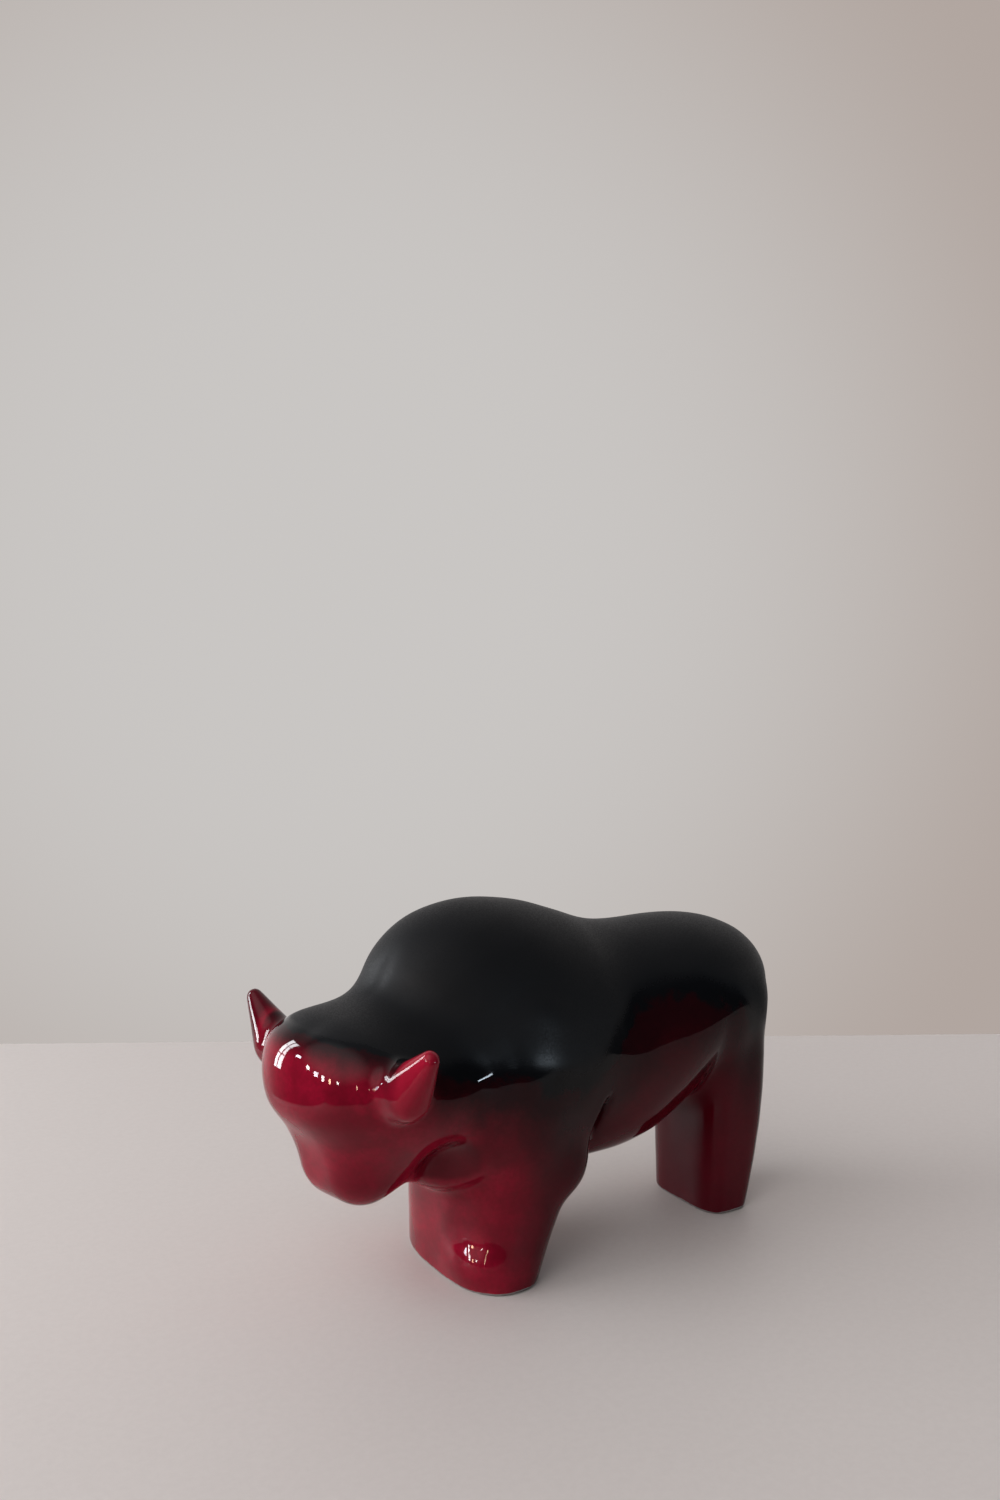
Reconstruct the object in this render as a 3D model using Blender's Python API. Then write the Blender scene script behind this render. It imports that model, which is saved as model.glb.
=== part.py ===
"""Small glazed bull, slip-cast in one piece.

One closed body: a high shoulder hump that falls through a saddle to a round rump, a slung belly,
the two front legs fused into one broad block, the two hind legs into a narrower one, and a low wide
head with a hanging muzzle and two short horns.

The form is worked the way a modeller builds it up: a few plain masses are set out, and the hollows
between them are filled with a fillet of a chosen width. Each mass has a distance rule; a smooth
union of the rules is the finished skin, and a mesh fused from the same masses is settled on it.

Frame: metres, +Z up. The bull faces -X and its left flank looks towards -Y. The origin is on the
ground under the middle of the outline.
"""
import math

import bmesh
import bpy
import numpy as np
from mathutils import Matrix

# Driving size -------------------------------------------------------------------------------
LENGTH = 0.290           # nose to rump
SPAN = 271.7             # the same length in units of the drawing below
U = LENGTH / SPAN        # one unit of the drawing, close to a millimetre

# Masses, in units of the drawing. Places are (along, up), counted from the middle of the front
# sole, towards the tail and up from the ground; radii are (along, across, up); tilts are in
# radians, positive when the front end dips.
HUMP_AT, HUMP_R, HUMP_TILT = (6.2, 125.6), (58.7, 43.5, 47.0), 0.26
CHEST_AT, CHEST_R = (-11.0, 71.5), (39.0, 44.0, 30.0)
BARREL_AT, BARREL_R = (55.9, 100.3), (69.9, 39.1, 49.9)
BELLY_AT, BELLY_R = (69.5, 85.9), (58.7, 38.0, 39.4)
RUMP_AT, RUMP_R = (125.2, 118.7), (48.2, 37.7, 33.0)
BROW_AT, BROW_R, BROW_TILT = (-60.7, 102.9), (39.5, 47.4, 26.2), 0.50
NECK_AT, NECK_R = (-37.0, 104.0), (30.0, 42.0, 24.0)
SHOULDER_AT, SHOULDER_R = (12.0, 86.0), (38.0, 50.0, 36.0)
ELBOW_AT, ELBOW_R = (31.0, 50.0), (11.0, 10.0, 14.0)
ELBOW_SIDE = 34.0        # distance of each elbow from the middle plane

HEAD_TURN = -0.19        # the head looks a little to its left
NECK_X = -20.0           # where it turns
MUZZLE_AT = (-65.5, 65.4)    # centre of the rounded snout
MUZZLE_R = 17.5
MUZZLE_ROOT_R = 23.8     # where it leaves the brow
MUZZLE_FLAT = 7.4        # half width of the flat front of the snout
MUZZLE_ROOT_STEP = (-2, -6)

HORN_ROOT = (-71.4, 47.1, 113.1)   # along, across, up
HORN_TIP = (-72.3, 63.7, 126.8)
HORN_ROOT_R = 12.8
HORN_TIP_R = 3.9
HORN_FLATTEN = 1.3       # how much thinner the horn is front to back

# Leg blocks: front and rear faces at the ground, their slopes, and the flare of the rear face
FORE_FRONT, FORE_REAR = -19.2, 24.5
FORE_SLOPES = (-0.06, 0.39)
FORE_FLARE = 0.31
FORE_KNEE = 56.0         # the flare grows up to here
FORE_HALF_WIDTH, FORE_SPREAD = 43.0, 0.02
FORE_SQUARE = 2.4        # 2 is an ellipse, higher is squarer
HIND_FRONT, HIND_REAR = 128.0, 155.9
HIND_SLOPES = (-0.02, 0.26)
HIND_FLARE = -0.20
HIND_KNEE = 120.0
HIND_HALF_WIDTH, HIND_SPREAD = 26.4, 0.08
HIND_SQUARE = 3.5
FLARE_HEIGHT = 100.0     # height over which a flare is quoted

# Fillets between the masses, in units of the drawing
CHEST_FILLET = 24.0
BELLY_FILLET = 28.0
BARREL_FILLET = 40.0
RUMP_FILLET = 36.0
SHOULDER_FILLET = 30.0
NECK_SIDE_FILLET = 16.0
ELBOW_FILLET = 12.0
FORE_FILLET = 5.0            # at the chest and behind the elbow
FORE_FLANK_FILLET = 18.0     # on the flank
HIND_FILLET = 14.0
SNOUT_FILLET = 24.0
NECK_FILLET = 18.0
HORN_FILLET = 6.0
LEG_TOP_FILLET = 12.0

# Mesh fineness
VOXEL = 0.0026
BELOW_GROUND = 6.0       # the legs are modelled this much too long and then cut flat
TRIANGLES = 7600
SETTLE_STEPS = 7


# Distance rules -----------------------------------------------------------------------------
def blend(a, b, width):
    """Smooth union: the nearer of a and b, with a fillet where they differ by less than width."""
    reach = np.maximum(width - np.abs(a - b), 0.0) / width
    return np.minimum(a, b) - 0.25 * width * reach * reach


def egg(p, at, radii, tilt=0.0):
    """Distance to an ellipsoid at (along, up) with the given radii, tilted about the cross axis."""
    x, y, z = p[:, 0] - at[0], p[:, 1], p[:, 2] - at[1]
    c, s = math.cos(tilt), math.sin(tilt)
    q = np.stack([c * x - s * z, y, s * x + c * z], axis=1)
    r = np.array(radii, dtype=float)
    near = np.linalg.norm(q / r, axis=1) + 1e-9
    steep = np.linalg.norm(q / (r * r), axis=1) + 1e-9
    return near * (near - 1.0) / steep


def leg_faces(z, front, rear, slopes, flare, knee):
    """Front and rear faces of a leg block at height z."""
    lift = np.clip(z, 0.0, knee) ** 2 / FLARE_HEIGHT
    return front + slopes[0] * z, rear + slopes[1] * z + flare * lift


def leg_block(p, front, rear, slopes, flare, knee, half_width, spread, square, top):
    """Distance to a fused pair of legs: a rounded oblong that changes with height."""
    z = p[:, 2]
    fore, aft = leg_faces(z, front, rear, slopes, flare, knee)
    dx = p[:, 0] - 0.5 * (fore + aft)
    half_length, half_across = 0.5 * (aft - fore), half_width + spread * z
    r = np.hypot(dx, p[:, 1]) + 1e-9
    rim = (np.abs(dx / half_length) ** square + np.abs(p[:, 1] / half_across) ** square) ** (1 / square)
    return -blend(-r * (1.0 - 1.0 / (rim + 1e-9)), top - z, LEG_TOP_FILLET)


def fore_fillet(p):
    """Fillet between body and front legs: narrow at the chest and behind the elbow, wide on the flank."""
    middle, half = 0.5 * (FORE_FRONT + FORE_REAR) + 7.0, 0.5 * (FORE_REAR - FORE_FRONT) - 4.0
    flank = np.exp(-((p[:, 0] - middle) / half) ** 2) * np.clip(p[:, 1] / CHEST_R[1], 0, 1) ** 2
    return FORE_FILLET + (FORE_FLANK_FILLET - FORE_FILLET) * flank


def tapered_rod(p, start, end, r_start, r_end, flatten=1.0):
    """Distance to the cone tangent to a ball at each end; flatten above 1 thins it along X."""
    squash = np.array([flatten, 1.0, 1.0])
    q, a, b = p * squash, np.array(start) * squash, np.array(end) * squash
    ab, taper = b - a, r_start - r_end
    long2 = ab @ ab
    cone2 = long2 - taper * taper
    y = (q - a) @ ab
    side2 = (((q - a) * long2 - y[:, None] * ab) ** 2).sum(axis=1)
    past = y - long2
    lean = np.sign(taper) * taper * taper * side2
    wall = (np.sqrt(side2 * cone2 / long2) + y * taper) / long2 - r_start
    ball_a = np.sqrt(side2 + y * y * long2) / long2 - r_start
    ball_b = np.sqrt(side2 + past * past * long2) / long2 - r_end
    rod = np.where(np.sign(y) * cone2 * y * y * long2 < lean, ball_a, wall)
    return np.where(np.sign(past) * cone2 * past * past * long2 > lean, ball_b, rod)


def turned_to_head(p):
    """The same places as the head sees them, turned back about the upright axis at the neck."""
    c, s = math.cos(HEAD_TURN), math.sin(HEAD_TURN)
    x, y = p[:, 0] - NECK_X, p[:, 1]
    return np.stack([NECK_X + c * x - s * y, s * x + c * y, p[:, 2]], axis=1)


def skin(points):
    """Signed distance to the finished bull, for an array of points in metres."""
    p = points / U
    h = turned_to_head(p)
    p[:, 1] = np.abs(p[:, 1])
    h[:, 1] = np.abs(h[:, 1])
    middle = blend(egg(p, BARREL_AT, BARREL_R), egg(p, BELLY_AT, BELLY_R), BELLY_FILLET)
    body = blend(egg(p, HUMP_AT, HUMP_R, HUMP_TILT), egg(p, CHEST_AT, CHEST_R), CHEST_FILLET)
    body = blend(body, middle, BARREL_FILLET)
    body = blend(body, egg(p, RUMP_AT, RUMP_R), RUMP_FILLET)
    fore = leg_block(p, FORE_FRONT, FORE_REAR, FORE_SLOPES, FORE_FLARE, FORE_KNEE,
                     FORE_HALF_WIDTH, FORE_SPREAD, FORE_SQUARE, HUMP_AT[1])
    hind = leg_block(p, HIND_FRONT, HIND_REAR, HIND_SLOPES, HIND_FLARE, HIND_KNEE,
                     HIND_HALF_WIDTH, HIND_SPREAD, HIND_SQUARE, RUMP_AT[1])
    body = blend(body, egg(p, SHOULDER_AT, SHOULDER_R), SHOULDER_FILLET)
    body = blend(body, egg(p, NECK_AT, NECK_R), NECK_SIDE_FILLET)
    elbow = egg(p - np.array([0.0, ELBOW_SIDE, 0.0]), ELBOW_AT, ELBOW_R)
    body = blend(body, blend(fore, elbow, ELBOW_FILLET), fore_fillet(p))
    body = blend(body, hind, HIND_FILLET)
    flat = h.copy()
    flat[:, 1] = np.maximum(h[:, 1] - MUZZLE_FLAT, 0.0)
    root = (BROW_AT[0] + MUZZLE_ROOT_STEP[0], 0, BROW_AT[1] + MUZZLE_ROOT_STEP[1])
    snout = tapered_rod(flat, root, (MUZZLE_AT[0], 0, MUZZLE_AT[1]), MUZZLE_ROOT_R, MUZZLE_R)
    head = blend(egg(h, BROW_AT, BROW_R, BROW_TILT), snout, SNOUT_FILLET)
    body = blend(body, head, NECK_FILLET)
    horn = tapered_rod(h, HORN_ROOT, HORN_TIP, HORN_ROOT_R, HORN_TIP_R, HORN_FLATTEN)
    return U * blend(body, horn, HORN_FILLET)


def settle(points, steps):
    """Move points onto the skin by Newton steps along the slope of the distance rule."""
    h = 0.0002
    for _ in range(steps):
        slope = np.empty_like(points)
        for axis in range(3):
            shift = np.zeros(3)
            shift[axis] = h
            slope[:, axis] = (skin(points + shift) - skin(points - shift)) / (2 * h)
        step = skin(points.copy()) / np.maximum((slope * slope).sum(axis=1), 0.2)
        points = points - np.clip(step, -0.004, 0.004)[:, None] * slope
    return points


# The masses as solids, before they are fused --------------------------------------------------
def add_egg(bm, at, radii, tilt=0.0):
    place = Matrix.Translation((at[0], 0, at[1])) @ Matrix.Rotation(tilt, 4, 'Y')
    bmesh.ops.create_uvsphere(bm, u_segments=48, v_segments=24, radius=1.0,
                              matrix=place @ Matrix.Diagonal((*radii, 1.0)))


def add_leg_block(bm, front, rear, slopes, flare, knee, half_width, spread, square, top):
    """Rings of the leg block, bridged from below the ground to its top."""
    rings = []
    for z in np.linspace(-BELOW_GROUND, top, 15):
        fore, aft = leg_faces(z, front, rear, slopes, flare, knee)
        ring = []
        for turn in np.linspace(0.0, 2 * math.pi, 40, endpoint=False):
            c, s = math.cos(turn), math.sin(turn)
            k = (abs(c) ** square + abs(s) ** square) ** (-1 / square)
            x = 0.5 * (fore + aft) + 0.5 * (aft - fore) * c * k
            ring.append(bm.verts.new((x, (half_width + spread * z) * s * k, z)))
        rings.append(ring)
    for low, high in zip(rings, rings[1:]):
        for i in range(len(low)):
            j = (i + 1) % len(low)
            bm.faces.new((low[i], low[j], high[j], high[i]))
    bm.faces.new(rings[0][::-1])
    bm.faces.new(rings[-1])


def add_rod(bm, start, end, r_start, r_end, widen=0.0):
    """A rod as a row of balls close enough to fuse."""
    a, b = np.array(start, dtype=float), np.array(end, dtype=float)
    for t in np.linspace(0.0, 1.0, 7):
        c, r = a + (b - a) * t, r_start + (r_end - r_start) * t
        place = Matrix.Translation(c.tolist()) @ Matrix.Diagonal((r, r + widen, r, 1.0))
        bmesh.ops.create_uvsphere(bm, u_segments=24, v_segments=12, radius=1.0, matrix=place)


def clay_blank():
    """All the masses in one mesh, still overlapping."""
    bm = bmesh.new()
    add_egg(bm, HUMP_AT, HUMP_R, HUMP_TILT)
    add_egg(bm, CHEST_AT, CHEST_R)
    add_egg(bm, BARREL_AT, BARREL_R)
    add_egg(bm, BELLY_AT, BELLY_R)
    add_egg(bm, RUMP_AT, RUMP_R)
    add_egg(bm, NECK_AT, NECK_R)
    add_egg(bm, SHOULDER_AT, SHOULDER_R)
    add_leg_block(bm, FORE_FRONT, FORE_REAR, FORE_SLOPES, FORE_FLARE, FORE_KNEE,
                  FORE_HALF_WIDTH, FORE_SPREAD, FORE_SQUARE, HUMP_AT[1])
    add_leg_block(bm, HIND_FRONT, HIND_REAR, HIND_SLOPES, HIND_FLARE, HIND_KNEE,
                  HIND_HALF_WIDTH, HIND_SPREAD, HIND_SQUARE, RUMP_AT[1])
    body_verts = set(bm.verts)
    add_egg(bm, BROW_AT, BROW_R, BROW_TILT)
    root = (BROW_AT[0] + MUZZLE_ROOT_STEP[0], 0, BROW_AT[1] + MUZZLE_ROOT_STEP[1])
    add_rod(bm, root, (MUZZLE_AT[0], 0, MUZZLE_AT[1]), MUZZLE_ROOT_R, MUZZLE_R, MUZZLE_FLAT)
    for side in (-1, 1):
        root, tip = ((x, side * y, z) for x, y, z in (HORN_ROOT, HORN_TIP))
        add_rod(bm, root, tip, HORN_ROOT_R, HORN_TIP_R)
    bmesh.ops.rotate(bm, cent=(NECK_X, 0, 0), matrix=Matrix.Rotation(-HEAD_TURN, 3, 'Z'),
                     verts=[v for v in bm.verts if v not in body_verts])
    bmesh.ops.scale(bm, vec=(U, U, U), verts=bm.verts)
    bmesh.ops.recalc_face_normals(bm, faces=bm.faces)
    mesh = bpy.data.meshes.new("bull")
    bm.to_mesh(mesh)
    bm.free()
    return mesh


def applied(obj):
    """Turn the object's modifiers into its mesh."""
    graph = bpy.context.evaluated_depsgraph_get()
    mesh = bpy.data.meshes.new_from_object(obj.evaluated_get(graph))
    obj.modifiers.clear()
    old, obj.data = obj.data, mesh
    bpy.data.meshes.remove(old)


def settle_mesh(mesh, steps):
    points = np.empty(len(mesh.vertices) * 3)
    mesh.vertices.foreach_get("co", points)
    mesh.vertices.foreach_set("co", settle(points.reshape(-1, 3), steps).ravel())
    mesh.update()


def cut_soles(mesh):
    """Slice both leg blocks off flat at the ground and close the cuts."""
    bm = bmesh.new()
    bm.from_mesh(mesh)
    cut = bmesh.ops.bisect_plane(bm, geom=bm.verts[:] + bm.edges[:] + bm.faces[:], dist=1e-5,
                                 plane_co=(0, 0, 0), plane_no=(0, 0, -1), clear_outer=True)
    rim = [g for g in cut["geom_cut"] if isinstance(g, bmesh.types.BMEdge) and g.is_boundary]
    bmesh.ops.holes_fill(bm, edges=rim, sides=0)
    for v in bm.verts:
        if abs(v.co.z) < 2e-5:
            v.co.z = 0.0
    bmesh.ops.dissolve_degenerate(bm, edges=bm.edges, dist=5e-6)
    bmesh.ops.recalc_face_normals(bm, faces=bm.faces)
    bm.to_mesh(mesh)
    bm.free()


# Build ----------------------------------------------------------------------------------------
for old in list(bpy.data.objects):
    bpy.data.objects.remove(old, do_unlink=True)

bull = bpy.data.objects.new("bull", clay_blank())
bpy.context.scene.collection.objects.link(bull)

fuse = bull.modifiers.new("Fuse the masses", 'REMESH')
fuse.mode = 'VOXEL'
fuse.voxel_size = VOXEL
applied(bull)
settle_mesh(bull.data, SETTLE_STEPS)

bull.data.calc_loop_triangles()
thin = bull.modifiers.new("Thin the mesh", 'DECIMATE')
thin.ratio = TRIANGLES / len(bull.data.loop_triangles)
thin.use_collapse_triangulate = True
applied(bull)
settle_mesh(bull.data, SETTLE_STEPS)
cut_soles(bull.data)

outline = np.array([v.co[:2] for v in bull.data.vertices])
middle = 0.5 * (outline.min(axis=0) + outline.max(axis=0))
bull.data.transform(Matrix.Translation((-middle[0], -middle[1], 0.0)))
bull.data.shade_smooth()

glaze = bpy.data.materials.new("Oxblood glaze")
glaze.use_nodes = True
surface = glaze.node_tree.nodes["Principled BSDF"]
surface.inputs["Base Color"].default_value = (0.16, 0.008, 0.014, 1.0)
surface.inputs["Roughness"].default_value = 0.12
surface.inputs["Metallic"].default_value = 0.0
bull.data.materials.clear()
bull.data.materials.append(glaze)
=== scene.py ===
# %% [markdown]
# # A glazed bull, cast in one piece
# The real object is a small ceramic bull. Liquid clay was poured into a plaster mould, the hollow
# cast was dried and fired, and two glazes were laid over it: a glossy oxblood red below and a satin
# black over the head, hump and back. Only the feet stand unglazed on the table.
# This lesson builds that skin as one surface, in metres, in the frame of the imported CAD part.

# %% Load the frame
import math

import bpy
import numpy as np
from mathutils import Euler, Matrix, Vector


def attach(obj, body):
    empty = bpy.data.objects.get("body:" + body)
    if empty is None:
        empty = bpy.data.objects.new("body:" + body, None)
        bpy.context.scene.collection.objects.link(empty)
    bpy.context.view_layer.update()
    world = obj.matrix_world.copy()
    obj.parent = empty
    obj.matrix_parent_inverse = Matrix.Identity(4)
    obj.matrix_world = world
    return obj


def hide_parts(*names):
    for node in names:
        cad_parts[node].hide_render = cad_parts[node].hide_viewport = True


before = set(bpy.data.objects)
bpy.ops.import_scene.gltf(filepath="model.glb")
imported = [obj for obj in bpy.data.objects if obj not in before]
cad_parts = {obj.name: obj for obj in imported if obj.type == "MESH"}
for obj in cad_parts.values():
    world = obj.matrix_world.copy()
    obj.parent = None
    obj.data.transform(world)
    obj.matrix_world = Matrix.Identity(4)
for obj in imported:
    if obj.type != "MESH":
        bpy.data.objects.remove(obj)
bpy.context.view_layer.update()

# %% [markdown]
# ## Camera
# The photograph was taken from the bull's front left, a little above its back. The lens is a plain
# 35 mm one on a full size sensor. A camera could be aimed at a point with a constraint, but the two
# angles are known, so the turn is written straight into the object.

# %% Camera
CAMERA_AT = (-0.39784, -0.60169, 0.33437)
CAMERA_DIP = 6.0235       # degrees below level
CAMERA_HEADING = 31.716   # degrees from +Y towards +X

lens = bpy.data.cameras.new("camera")
lens.lens = 35.0
lens.sensor_width = 36.0
lens.clip_start, lens.clip_end = 0.02, 50.0
camera = bpy.data.objects.new("camera", lens)
camera.location = CAMERA_AT
camera.rotation_euler = Euler((math.radians(90.0 - CAMERA_DIP), 0.0, -math.radians(CAMERA_HEADING)))
bpy.context.scene.collection.objects.link(camera)
bpy.context.scene.camera = camera
bpy.context.scene.view_settings.view_transform = 'Standard'
AHEAD = Vector((math.sin(math.radians(CAMERA_HEADING)), math.cos(math.radians(CAMERA_HEADING)), 0.0))
ASIDE = Vector((AHEAD.y, -AHEAD.x, 0.0))   # level, to the camera's right; table and room use both
print("camera looks along", [round(v, 3) for v in AHEAD])

# %% [markdown]
# ## Sizes of the masses
# A modeller would start such an animal from a few lumps of clay: hump, chest, neck, shoulders,
# barrel, belly, rump, brow, snout, horns, elbows and two blocks for the legs. The numbers are those
# of the CAD source, so both models keep one outline; only the neck, shoulders, elbows and horns sit
# a few millimetres elsewhere here. All are in units of the drawing. Places are (along, up) from the
# middle of the front sole, radii are (along, across, up), and tilts are in radians.

# %% Sizes
LENGTH, SPAN = 0.290, 271.7
U = LENGTH / SPAN         # metres in one unit

HUMP_AT, HUMP_R, HUMP_TILT = (6.2, 125.6), (58.7, 43.5, 47.0), 0.26
CHEST_AT, CHEST_R = (-11.0, 71.5), (39.0, 44.0, 30.0)
BARREL_AT, BARREL_R = (55.9, 100.3), (69.9, 39.1, 49.9)
BELLY_AT, BELLY_R = (69.5, 85.9), (58.7, 38.0, 39.4)
RUMP_AT, RUMP_R = (125.2, 118.7), (48.2, 37.7, 33.0)
BROW_AT, BROW_R, BROW_TILT = (-60.7, 102.9), (39.5, 47.4, 26.2), 0.50
NECK_AT, NECK_R = (-37.0, 98.0), (30.0, 43.0, 25.0)
SHOULDER_AT, SHOULDER_R = (12.0, 100.0), (42.0, 46.0, 33.0)
ELBOW_AT, ELBOW_R, ELBOW_SIDE = (31.0, 54.0), (11.0, 10.0, 13.0), 34.0

HEAD_TURN, NECK_X = -0.19, -20.0     # the head turns about an upright line at NECK_X
MUZZLE_AT, MUZZLE_R = (-65.5, 65.4), 17.5
MUZZLE_ROOT, MUZZLE_ROOT_R = (BROW_AT[0] - 2.0, BROW_AT[1] - 6.0), 23.8
MUZZLE_FLAT = 7.4                    # half the width of the flat between its two round sides
HORN_ROOT, HORN_TIP = (-71.4, 47.1, 109.0), (-72.3, 63.7, 126.8)
HORN_ROOT_R, HORN_TIP_R, HORN_FLATTEN = 12.0, 4.2, 1.15

# A leg block's front and rear face on the ground, their slopes, the flare of the rear face up to
# the knee, half its width and how that grows upwards, how square it is, and its top.
FORE = dict(front=-19.2, rear=24.5, slopes=(-0.06, 0.39), flare=0.31, knee=56.0,
            half_width=43.0, spread=0.02, square=2.4, top=HUMP_AT[1])
HIND = dict(front=128.0, rear=155.9, slopes=(-0.02, 0.26), flare=-0.20, knee=120.0,
            half_width=26.4, spread=0.08, square=3.5, top=RUMP_AT[1])
FLARE_HEIGHT = 100.0      # a flare of 1 adds this much at this height, a quarter at half of it
LEG_TOP_FILLET = 12.0
CHEST_FILLET, BELLY_FILLET, BARREL_FILLET, RUMP_FILLET = 24.0, 28.0, 40.0, 36.0
FORE_FILLET, FORE_FLANK_FILLET, HIND_FILLET = 5.0, 18.0, 14.0
FLANK_MIDDLE, FLANK_REACH = 9.65, 17.85    # where along the body the fore fillet is widest
NECK_SIDE_FILLET, SHOULDER_FILLET, ELBOW_FILLET = 26.0, 30.0, 12.0
SNOUT_FILLET, NECK_FILLET, HORN_FILLET = 24.0, 18.0, 6.0
SOLE_EDGE = 2.2           # width of the rounding where the wall turns under the foot
print("one drawing unit is %.4f mm" % (1000 * U))

# %% [markdown]
# ## Distance rules
# Each lump has a rule that gives, for any point, how far it is outside (above zero) or inside
# (below zero). Two rules are joined with a smooth union, which works like a fingertip drawn along
# the seam of two lumps of clay. Booleans of solids would leave sharp seams that a bevel can hardly
# follow here; the smooth union gives the soft valleys of a cast animal at once.

# %% Rules for single masses
def blend(a, b, width):
    """Smooth union: the smaller of a and b, less a quarter of width where the two are equal,
    fading as the square of how near they are."""
    reach = np.maximum(width - np.abs(a - b), 0.0) / width
    return np.minimum(a, b) - 0.25 * width * reach * reach


def egg(p, at, radii, tilt=0.0):
    """Ellipsoid: the length of the point divided by the radii, less one, brought back to a
    distance by the steepness of that length."""
    x, y, z = p[:, 0] - at[0], p[:, 1], p[:, 2] - at[1]
    c, s = math.cos(tilt), math.sin(tilt)
    q = np.stack([c * x - s * z, y, s * x + c * z], axis=1)
    r = np.array(radii, dtype=float)
    near = np.linalg.norm(q / r, axis=1) + 1e-9
    steep = np.linalg.norm(q / (r * r), axis=1) + 1e-9
    return near * (near - 1.0) / steep


def leg_faces(z, front, rear, slopes, flare, knee):
    """Front and rear face of a leg block at height z: a straight slope each, and for the rear
    face a flare that grows as the square of the height up to the knee."""
    lift = np.clip(z, 0.0, knee) ** 2 / FLARE_HEIGHT
    return front + slopes[0] * z, rear + slopes[1] * z + flare * lift


def leg_block(p, front, rear, slopes, flare, knee, half_width, spread, square, top):
    """A fused pair of legs: at each height a rounded oblong, whose corner is set by the power
    square; 2 is an ellipse, higher is squarer."""
    z = p[:, 2]
    fore, aft = leg_faces(z, front, rear, slopes, flare, knee)
    dx = p[:, 0] - 0.5 * (fore + aft)
    half_length, half_across = 0.5 * (aft - fore), half_width + spread * z
    r = np.hypot(dx, p[:, 1]) + 1e-9
    rim = (np.abs(dx / half_length) ** square + np.abs(p[:, 1] / half_across) ** square) ** (1 / square)
    return -blend(-r * (1.0 - 1.0 / (rim + 1e-9)), top - z, LEG_TOP_FILLET)


def tapered_rod(p, start, end, r_start, r_end, flatten=1.0):
    """A ball at each end and the cone that touches both. flatten above 1 thins it along X."""
    squash = np.array([flatten, 1.0, 1.0])
    q, a, b = p * squash, np.array(start) * squash, np.array(end) * squash
    ab, taper = b - a, r_start - r_end
    long2 = ab @ ab
    cone2 = long2 - taper * taper
    y = (q - a) @ ab
    side2 = (((q - a) * long2 - y[:, None] * ab) ** 2).sum(axis=1)
    past = y - long2
    lean = np.sign(taper) * taper * taper * side2
    wall = (np.sqrt(side2 * cone2 / long2) + y * taper) / long2 - r_start
    ball_a = np.sqrt(side2 + y * y * long2) / long2 - r_start
    ball_b = np.sqrt(side2 + past * past * long2) / long2 - r_end
    rod = np.where(np.sign(y) * cone2 * y * y * long2 < lean, ball_a, wall)
    return np.where(np.sign(past) * cone2 * past * past * long2 > lean, ball_b, rod)


def fore_fillet(p):
    """Fillet between the body and the front legs: narrow at the chest and behind the elbow, wide
    on the flank, where it grows as a bell curve along and as the square of the place across."""
    flank = np.exp(-((p[:, 0] - FLANK_MIDDLE) / FLANK_REACH) ** 2) * np.clip(p[:, 1] / CHEST_R[1], 0, 1) ** 2
    return FORE_FILLET + (FORE_FLANK_FILLET - FORE_FILLET) * flank


def turned_to_head(p):
    """The same points as the head sees them: turned back about the upright line at the neck."""
    c, s = math.cos(HEAD_TURN), math.sin(HEAD_TURN)
    x, y = p[:, 0] - NECK_X, p[:, 1]
    return np.stack([NECK_X + c * x - s * y, s * x + c * y, p[:, 2]], axis=1)


# %% [markdown]
# ## Marks of the hand and the mould
# No cast is perfect. The real one has a groove behind the elbow, a hollow under the jaw, a low bar
# across the brow, a swollen toe, a few small dents, and a skin that waves by a fraction of a
# millimetre, which shows in the reflections. All are small changes added to the distance, so they
# follow the surface wherever it goes. Sculpting strokes would do the same by hand, but a formula
# gives the same mark on each run.

# %% Dents and waves
SLIT_FOOT, SLIT_TOP = (45.0, 57.0), (49.5, 88.0)     # (along, up) of the groove behind the elbow
SLIT_DEPTH, SLIT_WIDTH = 8.0, 2.4
SLIT_STEP, SLIT_STEP_WIDTH, SLIT_FADE = 4.5, 1.4, 12.0    # the belly lies this much deeper behind it
SLIT_FROM, SLIT_SIDE = (40.0, 12.0), (18.0, 14.0)    # it starts at this height and place across,
                                                     # and is whole that much further on
SLIT_END = 1.3                                       # above 1 it fades nearer its top
BROW_BAR_AT, BROW_BAR_R, BROW_BAR_HIGH = (-94.0, 0.0, 95.0), (16.0, 30.0, 11.0), 3.6    # on the head
DENTS = (  # place (along, across, up), radii, depth, all in drawing units; below zero stands out
    ((-47.0, -8.0, 146.0), (8.0, 3.5, 12.0), 0.5),        # on the side of the hump
    ((-86.0, -16.0, 130.0), (8.0, 6.0, 6.0), 0.6),        # on the head
    ((-15.0, -29.5, 11.0), (17.0, 17.0, 10.5), -5.6),     # the swollen toe
    ((-18.1, -23.9, 26.6), (3.0, 3.0, 3.0), -0.5),        # two bumps and a pit in its glaze
    ((-20.0, -25.0, 17.0), (3.2, 3.2, 3.2), -0.35),
    ((-15.5, -34.0, 22.5), (3.6, 3.6, 3.6), 0.4),
    ((-31.0, -36.0, 65.0), (10.0, 16.0, 11.0), 9.0),      # under the jaw
    ((15.5, -50.0, 107.0), (30.0, 20.0, 8.0), -0.8),      # ridge of the shoulder
    ((118.0, -37.0, 100.0), (25.0, 12.0, 15.0), -1.2),    # swelling of the thigh
)
WAVES = (  # height, then for each of two sines its turn (along, across, up) in radians a unit, and start
    (0.10, ((0.13, 0.0, 0.09), 1.0), ((-0.07, 0.11, 0.0), 0.0)),
    (0.07, ((-0.16, 0.0, 0.23), 2.0), ((0.0, 0.19, 0.12), 0.0)),
)


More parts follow.
